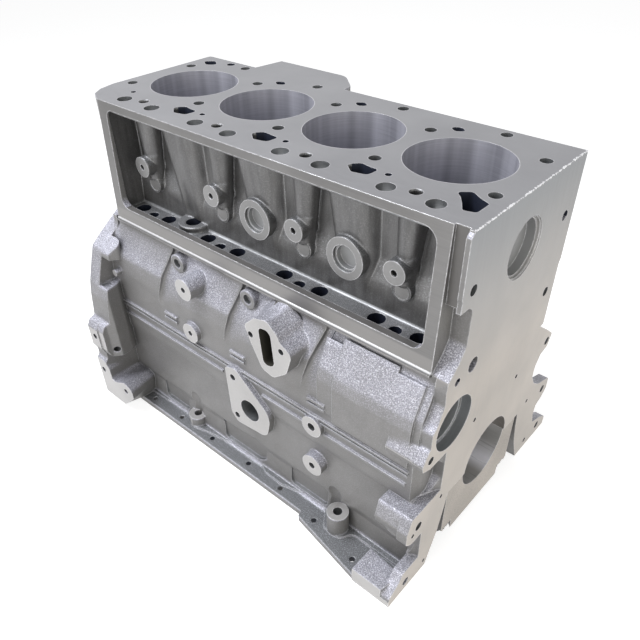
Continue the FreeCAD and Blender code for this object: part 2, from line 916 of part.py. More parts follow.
def rear_side_scoops():
    """Hollows between the near-side ears that turn in to the rear face."""
    upper = [
        (mid(241), -142.0, 2.0),
        (rear_x + 6.0, -142.0),
        (rear_x + 6.0, -95.5),
        (mid(256), -95.5, 6.0),
        (mid(245), -118.0, 12.0),
    ]
    lower = [
        (mid(243), -190.0),
        (rear_x + 6.0, -190.0),
        (rear_x + 6.0, -124.0),
        (mid(254), -124.0, 4.0),
        (mid(243), -132.0),
    ]
    high = slab_z(upper, 21.0, 79.0)
    low = slab_z(lower, -66.0, -22.0)
    return [high, low]


def crankcase_bays():
    """Four crank chambers that open downward, with the cam gallery above."""
    near_in = near_bay_y
    far_in = far_wall_y - wall_thickness
    section = [
        (near_in, pan_z - 1.0),
        (near_in, cam_axis_z, 30.0),
        (-102.0, 147.0, 18.0),
        (-72.0, 147.0, 18.0),
        (-56.0, 118.0, 8.0),
        (-56.0, bore_bottom_z),
        (74.0, bore_bottom_z, 16.0),
        (far_in - 2.0, 48.0, 24.0),
        (far_in, pan_z - 1.0),
    ]
    tools = []
    edges = [front_x + front_wall]
    for x in main_x[1:4]:
        edges.append(x - bulkhead_width / 2.0)
        edges.append(x + bulkhead_width / 2.0)
    edges.append(rear_x - rear_wall)
    for i in range(0, len(edges), 2):
        tools.append(slab_x(section, edges[i], edges[i + 1]))
    return tools


def cap_channel():
    """Open channel below the crank axis that receives the main caps."""
    section = [
        (-cap_span / 2.0 - 2.5, 0.0),
        (-cap_span / 2.0 - 6.0, -22.0, 6.0),
        (-89.0, -56.0, 8.0),
        (-107.0, pan_z - 1.0),
        (107.0, pan_z - 1.0),
        (89.0, -56.0, 8.0),
        (cap_span / 2.0 + 6.0, -22.0, 6.0),
        (cap_span / 2.0 + 2.5, 0.0),
    ]
    return slab_x(section, front_x - 1.0, rear_x + 1.0)


def bores():
    tools = [rod_z(x, 0.0, bore_r, 60.0, deck_height + 1.0) for x in cylinder_x]
    tools.append(rod_x(0.0, 0.0, main_r, front_x - 1.0, rear_x + 1.0))
    tools.append(rod_x(cam_axis_y, cam_axis_z, cam_bore_diameter / 2.0, front_x - 1.0, rear_x + 1.0))
    recess = cam_rear_recess_diameter / 2.0
    tools.append(rod_x(cam_axis_y, cam_axis_z, recess, rear_x - cam_rear_recess_depth, rear_x + 1.0))
    plug = core_plug_diameter / 2.0
    tools.append(rod_x(core_plug_y, core_plug_z, plug, rear_x - 26.0, rear_x + 1.0))
    recess = core_plug_recess_diameter / 2.0
    tools.append(rod_x(core_plug_y, core_plug_z, recess, rear_x - 1.5, rear_x + 1.0))
    tools.append(rod_x(core_plug_y, core_plug_z, plug, front_x - 1.0, front_x + 26.0))
    for x in main_x[2:4]:
        tools.append(rod_y(x + 1.5, valley_plug_z, valley_plug_diameter / 2.0, -90.0, -74.0))
    for x in cylinder_x:
        tools.append(rod_y(x + small_plug_shift, small_plug_z, small_plug_diameter / 2.0, -83.0, -72.0))
        tools.append(rod_y(x + valley_button_shift, valley_button_z, 3.4, -94.0, -76.0))
    return tools


def head_bolt_points():
    """The eighteen cylinder head bolt positions on the deck."""
    points = []
    for x in main_x:
        points.append((x, -head_bolt_row_y))
        points.append((x, head_bolt_row_y))
    for x in cylinder_x:
        points.append((x + head_bolt_outer_near_shift, head_bolt_outer_near_y))
        points.append((x + head_bolt_outer_far_shift, head_bolt_outer_far_y))
    return points


def deck_holes():
    tools = []
    for x, y in head_bolt_points():
        tools.append(rod_z(x, y, head_bolt_diameter / 2.0, deck_height - head_bolt_depth, deck_height + 1.0))
    for x in cylinder_x:
        centre = x + head_bolt_outer_near_shift
        for side in (-0.5, 0.5):
            tools.append(rod_z(centre + side * pushrod_pitch, pushrod_y, pushrod_diameter / 2.0,
                               valley_opening_high_z - 8.0, deck_height + 1.0))
            tools.append(rod_z(centre + side * pushrod_pitch, tappet_y, tappet_diameter / 2.0,
                               140.0, valley_floor_z + 1.0))
        tools.append(rod_z(centre, drain_y, drain_diameter / 2.0, 150.0, valley_floor_z + 1.0))
        tools.append(rod_z(x - 29.5, -65.8, 3.0, deck_height - 20.0, deck_height + 1.0))
    tools.append(rod_z(main_x[1] + 10.0, -83.0, 9.0, 150.0, 200.0))
    return tools


def water_holes():
    """Coolant passages through the deck: blind here, since no jacket is open."""
    low = deck_height - 42.0
    high = deck_height + 1.0
    near = [
        (-11.0, -70.5, 4.0),
        (-2.0, -61.0, 5.0),
        (9.0, -63.0, 6.0),
        (18.5, -63.0, 4.0),
        (17.0, -77.5, 5.0),
        (2.0, -81.0, 5.0),
    ]
    tools = []
    for x in main_x[1:4]:
        tools.append(slab_z([(x + px, py, r) for px, py, r in near], low, high))
    x = main_x[4]
    star = [
        (x - 27.0, -58.0, 3.0),
        (x - 17.0, -50.0, 4.0),
        (x - 6.0, -57.0, 3.0),
        (x + 4.0, -61.0, 3.0),
        (x + 4.0, -80.0, 4.0),
        (x - 7.0, -83.0, 3.0),
        (x - 14.0, -72.0, 3.0),
        (x - 20.0, -64.0, 4.0),
    ]
    tools.append(slab_z(star, low, high))
    for x in main_x[1:4]:
        oval = [(x + 11.0, 63.0, 3.0), (x + 20.0, 56.0, 5.0), (x + 29.0, 62.0, 3.0), (x + 20.0, 69.0, 5.0)]
        tools.append(slab_z(oval, low, high))
    x = main_x[0]
    diamond = [(x - 3.0, 69.0, 3.0), (x + 10.0, 60.0, 5.0), (x + 22.0, 68.0, 4.0), (x + 9.0, 78.0, 5.0)]
    tools.append(slab_z(diamond, low, high))
    tools.append(rod_z(mid(-204), 79.5, 5.0, deck_height - 40.0, high))
    return tools


def rear_face_holes():
    """Bolt, dowel and oil holes in the rear end: y, z, radius, depth."""
    holes = [
        (-94.0, deck_height - 56.9, 5.2, 22.0),
        (71.0, deck_height - 56.9, 5.2, 22.0),
        (69.0, 181.5, 5.2, 22.0),
        (-71.0, 174.5, 8.0, 26.0),
        (-96.5, 170.3, 4.2, 20.0),
        (-125.0, 91.5, 4.5, 20.0),
        (-44.3, 83.7, 2.6, 14.0),
        (43.8, 83.0, 2.6, 14.0),
        (-92.3, 8.1, 2.6, 12.0),
        (-132.0, -2.0, 5.4, 22.0),
        (-141.4, -9.0, 2.6, 12.0),
        (-145.0, -87.5, 5.2, 22.0),
        (-110.4, -88.0, 2.6, 12.0),
        (98.0, 7.0, 2.6, 12.0),
        (114.0, 90.5, 5.2, 22.0),
        (144.0, -5.0, 5.2, 22.0),
        (162.0, -84.0, 5.2, 22.0),
        (127.6, -86.0, 3.4, 14.0),
    ]
    return [rod_x(y, z, r, rear_x - depth, rear_x + 1.0) for y, z, r, depth in holes]


def front_face_holes():
    """Gear case bolt holes, two dowel holes and the oil gallery mouth."""
    holes = [
        (-70.0, deck_height - 54.9, 4.2),
        (70.0, deck_height - 54.9, 4.2),
        (76.0, 190.0, 4.2),
        (-82.0, 205.0, 4.2),
        (-128.0, 134.0, 4.2),
        (-164.0, 20.0, 4.2),
        (-160.0, -60.0, 4.2),
        (112.0, 96.0, 4.2),
        (140.0, -4.0, 4.2),
        (148.0, -84.0, 4.2),
    ]
    tools = [rod_x(y, z, r, front_x - 1.0, front_x + 18.0) for y, z, r in holes]
    for y in case_dowel_ys:
        tools.append(rod_x(y, case_dowel_z, case_dowel_diameter / 2.0, front_x - 1.0, front_x + 9.0))
    tools.append(rod_x(gallery_y, gallery_z, gallery_plug_diameter / 2.0, front_x - 1.0, front_x + 20.0))
    return tools


def rail_holes():
    """Oil pan bolt holes along both rails."""
    tools = []
    near = [(-190, -140), (-130, -140), (-66, -139), (4, -138), (64, -140), (128, -149), (196, -160)]
    for x, y in near:
        tools.append(rod_z(mid(x), y, 3.4, pan_z - 1.0, pan_z + rail_thickness + 3.0))
        tools.append(rod_z(mid(x), 139.0, 3.4, pan_z - 1.0, pan_z + rail_thickness + 1.0))
    return tools


def cap_bolt_holes():
    tools = []
    for x in cap_x():
        for side in (-0.5, 0.5):
            y = side * cap_bolt_pitch
            tools.append(rod_z(x, y, cap_bolt_diameter / 2.0, -1.0, 47.0))
            tools.append(rod_z(x, y, ring_dowel_diameter / 2.0, -1.0, ring_dowel_length / 2.0))
    return tools


def cap_x():
    """Centre of each main cap; the end caps sit inside the end walls."""
    xs = [front_x + cap_width / 2.0 + 1.0]
    xs.extend(main_x[1:4])
    xs.append(rear_x - cap_width / 2.0 - 1.5)
    return xs


def block_casting():
    shell = joined(upper_block(), [crankcase()])
    shell = carved(shell, shoulder_grooves() + wall_pockets() + [shoulder_slot()])
    body = joined(shell, [
        flange_rear(), flange_front(), *front_shoulder(), front_pillar(), cooler_housing(), frame_bead(),
        *rear_ledges(), *rear_foot(), *front_foot(), *long_ribs(), *wall_pads(),
        *side_bosses(), *pump_housing(), oil_flange(), *stepped_panels(), *rail_bosses(), rail_swell(),
    ])
    tools = valley() + rear_pocket() + rear_side_scoops() + crankcase_bays()
    tools += front_pillar_hollows()
    tools += [cap_channel(), cooler_pocket()]
    tools += bores() + deck_holes() + water_holes() + rear_face_holes() + front_face_holes()
    tools += rail_holes() + cap_bolt_holes() + side_boss_holes() + pump_slot() + oil_flange_holes()
    tools += rail_boss_holes()
    return carved(body, tools).removeSplitter()


# The separate pieces.
def main_cap(x):
    half = cap_span / 2.0
    section = [
        (-half, 0.0),
        (-half, -74.0, 4.0),
        (-half + 19.0, -cap_depth, 6.0),
        (half - 19.0, -cap_depth, 6.0),
        (half, -74.0, 4.0),
        (half, 0.0),
    ]
    body = slab_x(section, x - cap_width / 2.0, x + cap_width / 2.0)
    tools = [rod_x(0.0, 0.0, main_r, x - cap_width, x + cap_width)]
    for side in (-0.5, 0.5):
        y = side * cap_bolt_pitch
        tools.append(rod_z(x, y, cap_bolt_hole / 2.0, -cap_depth - 1.0, 1.0))
        tools.append(rod_z(x, y, cap_seat_diameter / 2.0, -cap_depth - 1.0, cap_seat_z))
        tools.append(rod_z(x, y, ring_dowel_diameter / 2.0, -ring_dowel_length / 2.0, 1.0))
    return carved(body, tools)


def cap_bolt(x, y):
    head = Part.makePolygon([
        Vector(x + cap_bolt_head_across / math.sqrt(3.0) * math.cos(math.radians(60.0 * i)),
               y + cap_bolt_head_across / math.sqrt(3.0) * math.sin(math.radians(60.0 * i)),
               cap_seat_z - cap_bolt_head_height)
        for i in range(7)
    ])
    body = Part.Face(head).extrude(Vector(0, 0, cap_bolt_head_height - 2.0))
    washer = rod_z(x, y, 12.5, cap_seat_z - 2.0, cap_seat_z)
    shank = rod_z(x, y, cap_bolt_diameter / 2.0, cap_seat_z - 1.0, cap_seat_z + cap_bolt_length)
    return joined(body, [washer, shank]).removeSplitter()


def ring_dowel(x, y):
    outer = ring_dowel_diameter / 2.0
    length = ring_dowel_length
    return rod_z(x, y, outer, -length / 2.0, length / 2.0).cut(rod_z(x, y, 6.5, -length, length))


def cam_bush(x0, x1):
    outer = cam_bore_diameter / 2.0
    ring = rod_x(cam_axis_y, cam_axis_z, outer, x0, x1)
    hole = rod_x(cam_axis_y, cam_axis_z, outer - cam_bush_wall, x0 - 1.0, x1 + 1.0)
    feed = rod_z((x0 + x1) / 2.0, cam_axis_y, 3.0, cam_axis_z, cam_axis_z + 40.0)
    return ring.cut([hole, feed])


def cup_plug(radius, depth, wall):
    """Pressed steel cup, open mouth toward +Z, floor at the origin."""
    shell = Part.makeCylinder(radius, depth)
    hollow = Part.makeCylinder(radius - wall, depth, Vector(0, 0, wall))
    return shell.cut(hollow)


def placed(shape, origin, direction):
    """Moves a shape drawn along +Z so that it runs along the given direction."""
    out = shape.copy()
    turn = FreeCAD.Rotation(Vector(0, 0, 1), direction)
    out.Placement = FreeCAD.Placement(origin, turn)
    return out


def hex_socket_plug(radius, length):
    body = Part.makeCylinder(radius, length)
    socket = Part.makePolygon([
        Vector(radius * 0.55 * math.cos(math.radians(60.0 * i)),
               radius * 0.55 * math.sin(math.radians(60.0 * i)), length - 5.0)
        for i in range(7)
    ])
    return body.cut(Part.Face(socket).extrude(Vector(0, 0, 6.0)))


def save(shape, name):
    shape.exportStep("parts/" + name + ".step")


def build():
    os.makedirs("parts", exist_ok=True)
    save(block_casting(), "block_casting")
    for i, x in enumerate(cap_x()):
        save(main_cap(x), "main_cap_%d" % (i + 1))
    pairs = [(x, side * cap_bolt_pitch) for x in cap_x() for side in (-0.5, 0.5)]
    save(Part.Compound([cap_bolt(x, y) for x, y in pairs]), "main_cap_bolts")
    save(Part.Compound([ring_dowel(x, y) for x, y in pairs]), "cap_ring_dowels")
    save(cam_bush(front_x + 2.0, front_x + 22.0), "cam_bush_1")
    for i in (1, 2, 3):
        save(cam_bush(main_x[i] - 9.0, main_x[i] + 9.0), "cam_bush_%d" % (i + 1))
    save(cam_bush(rear_x - rear_wall + 2.0, rear_x - cam_rear_recess_depth), "cam_bush_5")
    cup = cup_plug(core_plug_diameter / 2.0, 11.0, plug_wall)
    save(placed(cup, Vector(rear_x - 15.0, core_plug_y, core_plug_z), Vector(1, 0, 0)), "rear_core_plug")
    save(placed(cup, Vector(front_x + 15.0, core_plug_y, core_plug_z), Vector(-1, 0, 0)), "front_core_plug")
    cup = cup_plug(valley_plug_diameter / 2.0, 8.0, plug_wall)
    for i, name in ((2, "valley_core_plug_front"), (3, "valley_core_plug_rear")):
        save(placed(cup, Vector(main_x[i] + 1.5, -77.0, valley_plug_z), Vector(0, -1, 0)), name)
    blank = Part.makeCylinder(small_plug_diameter / 2.0, 8.5)
    spots = [Vector(x + small_plug_shift, -73.0, small_plug_z) for x in cylinder_x]
    group = [placed(blank, spot, Vector(0, -1, 0)) for spot in spots]
    save(Part.Compound(group), "valley_small_plugs")
    plug = hex_socket_plug(gallery_plug_diameter / 2.0, 12.0)
    save(placed(plug, Vector(front_x + 14.0, gallery_y, gallery_z), Vector(-1, 0, 0)), "front_gallery_plug")
    pin = Part.makeCylinder(case_dowel_diameter / 2.0, 18.0)
    pins = [placed(pin, Vector(front_x + 9.0, y, case_dowel_z), Vector(-1, 0, 0)) for y in case_dowel_ys]
    save(Part.Compound(pins), "gear_case_dowels")


build()
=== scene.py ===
import math

import bmesh
import bpy
from mathutils import Euler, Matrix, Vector


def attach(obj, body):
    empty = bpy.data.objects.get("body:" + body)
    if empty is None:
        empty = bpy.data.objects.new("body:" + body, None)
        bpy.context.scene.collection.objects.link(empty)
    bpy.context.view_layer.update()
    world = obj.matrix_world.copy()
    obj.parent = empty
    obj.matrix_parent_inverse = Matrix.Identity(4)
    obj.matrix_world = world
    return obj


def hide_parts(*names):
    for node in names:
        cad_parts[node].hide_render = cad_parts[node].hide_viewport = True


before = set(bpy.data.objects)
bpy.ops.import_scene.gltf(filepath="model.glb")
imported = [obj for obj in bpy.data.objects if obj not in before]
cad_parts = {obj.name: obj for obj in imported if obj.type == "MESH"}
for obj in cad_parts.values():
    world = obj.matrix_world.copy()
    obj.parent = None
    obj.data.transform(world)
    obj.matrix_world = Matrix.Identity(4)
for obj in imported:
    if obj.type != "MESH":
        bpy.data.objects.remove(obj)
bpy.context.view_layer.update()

# Lengths here are metres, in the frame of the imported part: the crankshaft
# axis lies along X, the deck looks up and the tappet valley faces -Y.
X_AXIS = 0
Z_AXIS = 2
FRONT_X = -0.5136
DECK_Z = 0.3229
PAN_Z = -0.1
BORE_PITCH = 0.12
BORE_RADIUS = 0.051
CYLINDER_X = (-0.4383, -0.3183, -0.1983, -0.0783)
CYLINDER_FOOT_Z = 0.095
CRANK_RADIUS = 0.044
CAM_AXIS = (-0.0897, 0.1142)
CAM_RADII = (0.027, 0.0303)
PLUG_AXIS = (-0.0084, 0.2658)
PLUG_RADII = (0.0285, 0.0296)

# Head bolts: two over each bulkhead, and one beside each bore on both sides.
BULKHEADS = 5
BULKHEAD_X = [CYLINDER_X[0] - BORE_PITCH / 2.0 + BORE_PITCH * i for i in range(BULKHEADS)]
BOLT_RADIUS = 0.006
HEAD_BOLTS = [(x, side * 0.0446) for x in BULKHEAD_X for side in (-1.0, 1.0)]
HEAD_BOLTS += [(x + 0.0075, -0.0787) for x in CYLINDER_X]
HEAD_BOLTS += [(x + 0.0035, 0.0785) for x in CYLINDER_X]

# Planes of the cut faces on the valley side.
BOSS_FACES_Y = (-0.141, -0.1365, -0.1385, -0.146, -0.1775, -0.176)
FOOT_TOPS_Z = (-0.075, -0.060)
VALLEY_PADS_Y = (-0.093, -0.0885)

# Limits between neighbouring forms.
FEET_Y = -0.12
BEAD_FOOT_Z = 0.1745
BEAD_CREST_Z = 0.1795
BEAD_TOP_Z = 0.1822
VALLEY_BACK_Y = -0.066
VALLEY_CEILING_Z = 0.3125
OUTER_HOLES_Y = -0.074
PAN_HOLES_Z = -0.086

# Boxes round the forms that have a finish of their own: ranges of x, y and z.
# A limit of 1 lies beyond the block.
ALL = (-1.0, 1.0)
FRAME_FACE = (ALL, (-0.1145, -0.105), (BEAD_TOP_Z, DECK_Z))
FRAME_BEAD = (ALL, (-0.1165, -0.1085), (BEAD_FOOT_Z, BEAD_TOP_Z))
FRAME_LIP = (ALL, (-0.1145, -0.1025), (0.1975, 0.1995))
RECESS_STRIP = ((-0.03, 1.0), (-0.1041, -0.1029), (0.19, 1.0))
PAD_ROW = (ALL, ALL, (0.21, 0.27))
TAPPET_HOLES = (ALL, (-0.104, -0.07), (0.12, 0.1919))
DECK_HOLES = ((FRONT_X + 0.003, -0.002), (-0.1035, 0.089), (0.26, 1.0))
RAIL_TOP = (ALL, (-1.0, -0.127), (-0.0925, -0.0875))
PUMP_SLOT = ((-0.206, -0.178), (-0.1455, -0.099), (0.113, 0.168))
VALLEY_FOOT = (ALL, (-0.0835, -0.0735), (0.1921, 0.1955))
VALLEY = ((-0.4705, -0.028), (-0.1045, -0.058), (0.19, 0.314))

# How far a face may turn from a plane or an upright, and how far it may lie
# from the joint face, bore or plane that it belongs to.
FLAT = 0.99
UPRIGHT = 0.2
ON_JOINT = 0.0005
ON_REAR = 0.002
ON_BORE = 0.0006
ON_PLANE = 0.0002
SHARP_ANGLE = math.radians(30.0)
MERGE_DISTANCE = 0.00001

# A drilled hole is a small ring of faces that look at each other: its largest
# area, its fewest faces, and the share by which they may lean to one side.
HOLE_AREA = 0.004
HOLE_FACES = 8
HOLE_LEAN = 0.15

# Values that several finishes share, and colours that come in over them.
CASTING_GRAIN = 900.0
FINE_CUT = 0.00002
CUT_EDGE = 0.0006
CAST_EDGE = 0.0022
EDGE_REACH = 0.0017
CREVICE_REACH = 0.01
# Painted glint for the bright specks of the grain on upward faces.
GLINT = (0.93, 0.93, 1.0, 1.0)
# Pale greys painted on rounded edges as highlight, on cast and on cut faces.
CAST_EDGE_HIGHLIGHT = (0.85, 0.86, 0.88, 1.0)
CUT_EDGE_HIGHLIGHT = (0.9, 0.9, 0.92, 1.0)
COOL_REFLECTION_GREY = (0.24, 0.26, 0.285, 1.0)
TORN_BURR = (0.95, 0.95, 0.97, 1.0)
RIM_HIGHLIGHT_COLOUR = (0.66, 0.66, 0.68, 1.0)


# Colours.
def grey(value, warm=0.0):
    return (value * (1.0 + warm), value, value * (1.0 - warm), 1.0)


def bluish(value, amount):
    return (value, value, value * (1.0 + amount), 1.0)


def toned(colour, factor):
    return tuple(min(1.0, factor * c) for c in colour[:3]) + (1.0,)


# Node helpers.
def node(tree, kind, **settings):
    made = tree.nodes.new(kind)
    for key, value in settings.items():
        setattr(made, key, value)
    return made


def input_named(made, key):
    """The input that a key names: i0 by its place, Base_Color by its label."""
    if key[0] == "i" and key[1:].isdigit():
        return made.inputs[int(key[1:])]
    return made.inputs[key.replace("_", " ")]


def feed(tree, made, **values):
    """Sets each named input of a node, or links it where the value is a socket."""
    for key, value in values.items():
        socket = input_named(made, key)
        if isinstance(value, bpy.types.NodeSocket):
            tree.links.new(value, socket)
        else:
            socket.default_value = value
    return made


def maths(tree, operation, a, b=0.0, clamp=False):
    made = node(tree, "ShaderNodeMath", operation=operation, use_clamp=clamp)
    return feed(tree, made, i0=a, i1=b).outputs[0]


def times(tree, a, b, clamp=False):
    return maths(tree, "MULTIPLY", a, b, clamp)


def ramp(tree, value, low, high, out_low=0.0, out_high=1.0):
    made = node(tree, "ShaderNodeMapRange", clamp=True)
    feed(tree, made, Value=value, From_Min=low, From_Max=high, To_Min=out_low, To_Max=out_high)
    return made.outputs["Result"]


def blend_colour(tree, amount, a, b):
    made = node(tree, "ShaderNodeMix", data_type="RGBA")
    return feed(tree, made, i0=amount, i6=a, i7=b).outputs[2]


def noise(tree, vector, scale=1.0, detail=3.0, roughness=0.6):
    made = node(tree, "ShaderNodeTexNoise")
    feed(tree, made, Vector=vector, Scale=scale, Detail=detail, Roughness=roughness)
    return made.outputs["Fac"]


def place(tree, stretch=None):
    """Object coordinates, stretched where a pattern runs along an axis."""
    spot = node(tree, "ShaderNodeTexCoord").outputs["Object"]
    if stretch is None:
        return spot
    made = node(tree, "ShaderNodeMapping")
    return feed(tree, made, Vector=spot, Scale=stretch).outputs["Vector"]


def parts_of(tree, vector):
    """X, Y and Z of a vector."""
    return feed(tree, node(tree, "ShaderNodeSeparateXYZ"), i0=vector).outputs


def face_normal(tree):
    return node(tree, "ShaderNodeNewGeometry").outputs["Normal"]


def rounded_normal(tree, radius, samples):
    """Normal of the surface as if its edges had this radius."""
    made = node(tree, "ShaderNodeBevel", samples=samples)
    return feed(tree, made, Radius=radius).outputs["Normal"]


# Surface effects, each a node group that puts out masks and heights.
def new_group(name, **inputs):
    group = bpy.data.node_groups.new(name, "ShaderNodeTree")
    for label, value in inputs.items():
        kind = "NodeSocketVector" if isinstance(value, tuple) else "NodeSocketFloat"
        socket = group.interface.new_socket(label, in_out="INPUT", socket_type=kind)
        socket.default_value = value
    return group


def group_inputs(group):
    return node(group, "NodeGroupInput").outputs


def put_out(group, **values):
    """Gives the group these outputs, which are all plain numbers."""
    for label in values:
        group.interface.new_socket(label, in_out="OUTPUT", socket_type="NodeSocketFloat")
    feed(group, node(group, "NodeGroupOutput"), **values)
    return group


def use_group(tree, group, **values):
    return feed(tree, node(tree, "ShaderNodeGroup", node_tree=group), **values).outputs


def sand_grain_group():
    """Skin of a sand casting: grain height, bright specks and soft blotches."""
    group = new_group("sand_grain", Grain=CASTING_GRAIN)
    where = place(group)
    fine = noise(group, where, group_inputs(group)["Grain"], detail=2.0)
    lumps = noise(group, where, 45.0, roughness=0.5)
    height = maths(group, "ADD", fine, times(group, lumps, 0.8))
    specks = ramp(group, fine, 0.36, 0.66)
    return put_out(group, Height=height, Specks=specks, Blotch=ramp(group, lumps, 0.3, 0.7))


def edge_light_group():
    """Mask of painted highlight on rounded edges, where the rounded normal turns away."""
    group = new_group("edge_light", Amount=1.0)
    facing = node(group, "ShaderNodeVectorMath", operation="DOT_PRODUCT")
    feed(group, facing, i0=rounded_normal(group, EDGE_REACH, samples=4), i1=face_normal(group))
    turned = ramp(group, facing.outputs["Value"], 0.99, 0.82)
    broken = ramp(group, noise(group, place(group), 220.0), 0.35, 0.6, 0.35, 1.0)
    amount = times(group, broken, group_inputs(group)["Amount"])
    return put_out(group, Edge=times(group, turned, amount))


def round_sheen_group():
    """Painted sheen: soft light and dark bands of reflection that run up a honed cylinder wall."""
    group = new_group("round_sheen")
    wide = noise(group, face_normal(group), 2.2, roughness=0.55)
    return put_out(group, Band=ramp(group, wide, 0.36, 0.64))


def bore_highlight_group():
    """Painted highlight: a bright streak along the lower side of a bearing bore."""
    group = new_group("painted_bore_highlight")
    parts = parts_of(group, face_normal(group))
    off = maths(group, "ABSOLUTE", maths(group, "ADD", parts["Y"], 0.5))
    low = ramp(group, parts["Z"], 0.2, 0.6)
    return put_out(group, Streak=times(group, low, ramp(group, off, 0.05, 0.4, 1.0, 0.0)))


def bore_rim_group():
    """Painted highlight: a bright broken line on the edge round each cylinder, seen on the deck."""
    group = new_group("bore_rim")
    spot = parts_of(group, place(group))
    along = maths(group, "SUBTRACT", spot["X"], CYLINDER_X[0])
    nearest = maths(group, "PINGPONG", along, BORE_PITCH / 2.0)
    from_middle = maths(group, "ABSOLUTE", maths(group, "SUBTRACT", along, 1.5 * BORE_PITCH))
    in_row = maths(group, "LESS_THAN", from_middle, 1.5 * BORE_PITCH + BORE_RADIUS + 0.002)
    across = times(group, spot["Y"], spot["Y"])
    away = maths(group, "SQRT", maths(group, "ADD", times(group, nearest, nearest), across))
    inner = ramp(group, away, BORE_RADIUS + 0.0002, BORE_RADIUS + 0.001, 1.0, 0.0)
    chipped = ramp(group, noise(group, place(group), 90.0), 0.3, 0.55, 0.35, 1.0)
    return put_out(group, Rim=times(group, in_row, times(group, inner, chipped)))


def burr_group():
    """Torn bright burr where the rear face was cut against the deck."""
    group = new_group("burr_line")
    spot = parts_of(group, place(group))
    below = maths(group, "SUBTRACT", DECK_Z, spot["Z"])
    away = maths(group, "ABSOLUTE", spot["X"])
    reach = maths(group, "MAXIMUM", below, away)
    torn = noise(group, place(group), 420.0, detail=2.0, roughness=0.5)
    width = ramp(group, torn, 0.42, 0.7, 0.0001, 0.002)
    mask = maths(group, "LESS_THAN", reach, width)
    return put_out(group, Burr=times(group, mask, ramp(group, torn, 0.3, 0.6, 0.5, 1.0)))


def cutter_marks_group():
    """Machined metal: fine lines along one direction and uneven tone."""
    group = new_group("cutter_marks", Stretch=(1.0, 1.0, 1.0))
    lines = noise(group, place(group, group_inputs(group)["Stretch"]))
    cloud = noise(group, place(group), 14.0, roughness=0.5)
    tone = ramp(group, lines, 0.25, 0.75)
    return put_out(group, Height=lines, Tone=tone, Cloud=ramp(group, cloud, 0.3, 0.7))


GRAIN = sand_grain_group()
MARKS = cutter_marks_group()
EDGES = edge_light_group()
SHEEN = round_sheen_group()
BURR = burr_group()
RIM_HIGHLIGHT = bore_rim_group()
BORE_HIGHLIGHT = bore_highlight_group()


# Materials.
def empty_tree(owner):
    """Node tree of a new material or world, without the nodes it starts with."""
    owner.use_nodes = True
    owner.node_tree.nodes.clear()
    return owner.node_tree


def new_material(name):
    material = bpy.data.materials.new(name)
    tree = empty_tree(material)
    shader = node(tree, "ShaderNodeBsdfPrincipled")
    feed(tree, node(tree, "ShaderNodeOutputMaterial"), Surface=shader.outputs["BSDF"])
    return material, tree, shader


def bump(tree, shader, height, strength, distance, edge_radius):
    made = node(tree, "ShaderNodeBump")
    feed(tree, made, Height=height, Strength=strength, Distance=distance)
    if edge_radius > 0.0:
        feed(tree, made, Normal=rounded_normal(tree, edge_radius, samples=6))
    feed(tree, shader, Normal=made.outputs["Normal"])


def up_facing(tree):
    """Mask of the surfaces that look upward, softened over the edges."""
    rounded = rounded_normal(tree, radius=0.006, samples=8)
    return ramp(tree, parts_of(tree, rounded)["Z"], low=0.12, high=0.5)


def crevice_shade(tree):
    """Mask for painted shade: 1 in the open, falling towards 0 in corners and recesses."""
    made = node(tree, "ShaderNodeAmbientOcclusion", samples=5)
    return feed(tree, made, Distance=CREVICE_REACH).outputs["AO"]


def cast_material(name, side, painted_top, rough, metal, grain_height, edge_radius=CAST_EDGE,
                  sparkle=0.75, streaks=0.0):
    """Sand cast iron: darker upright faces, and slopes painted lighter and sparkling with painted glint, as
    if lit from above.
    """
    material, tree, shader = new_material(name)
    skin = use_group(tree, GRAIN, Grain=CASTING_GRAIN)
    upward = up_facing(tree)
    # Painted light: faces that look upward take the colour painted for light from above.
    shade = blend_colour(tree, upward, side, painted_top)
    shade = blend_colour(tree, times(tree, skin["Blotch"], 0.3), shade, toned(side, 0.6))
    if streaks > 0.0:
        running = ramp(tree, noise(tree, place(tree, (130.0, 130.0, 14.0))), 0.35, 0.7)
        shade = blend_colour(tree, times(tree, running, streaks), shade, toned(side, 2.1))
    # The grain's dark specks are its own; its bright specks are painted glint, strongest on upward faces.
    dots = maths(tree, "SUBTRACT", skin["Specks"], 0.5)
    strength = maths(tree, "ADD", times(tree, upward, sparkle), 0.08)
    painted_glint = times(tree, maths(tree, "MAXIMUM", dots, 0.0), strength)
    drop = times(tree, maths(tree, "MAXIMUM", times(tree, dots, -1.0), 0.0), strength)
    shade = blend_colour(tree, times(tree, drop, 1.2, clamp=True), shade, toned(side, 0.6))
    shade = blend_colour(tree, times(tree, painted_glint, 1.6, clamp=True), shade, GLINT)
    # Painted shade: corners and recesses darkened towards a quarter of the side colour.
    painted_crevice_shade = ramp(tree, crevice_shade(tree), 0.7, 0.25, 0.0, 0.55)
    shade = blend_colour(tree, painted_crevice_shade, shade, toned(side, 0.25))
    # Painted highlight along rounded edges.
    shade = blend_colour(tree, use_group(tree, EDGES, Amount=0.45)["Edge"], shade, CAST_EDGE_HIGHLIGHT)
    feed(tree, shader, Base_Color=shade, Metallic=metal, Roughness=rough)
    bump(tree, shader, skin["Height"], 1.0, grain_height, edge_radius)
    return material


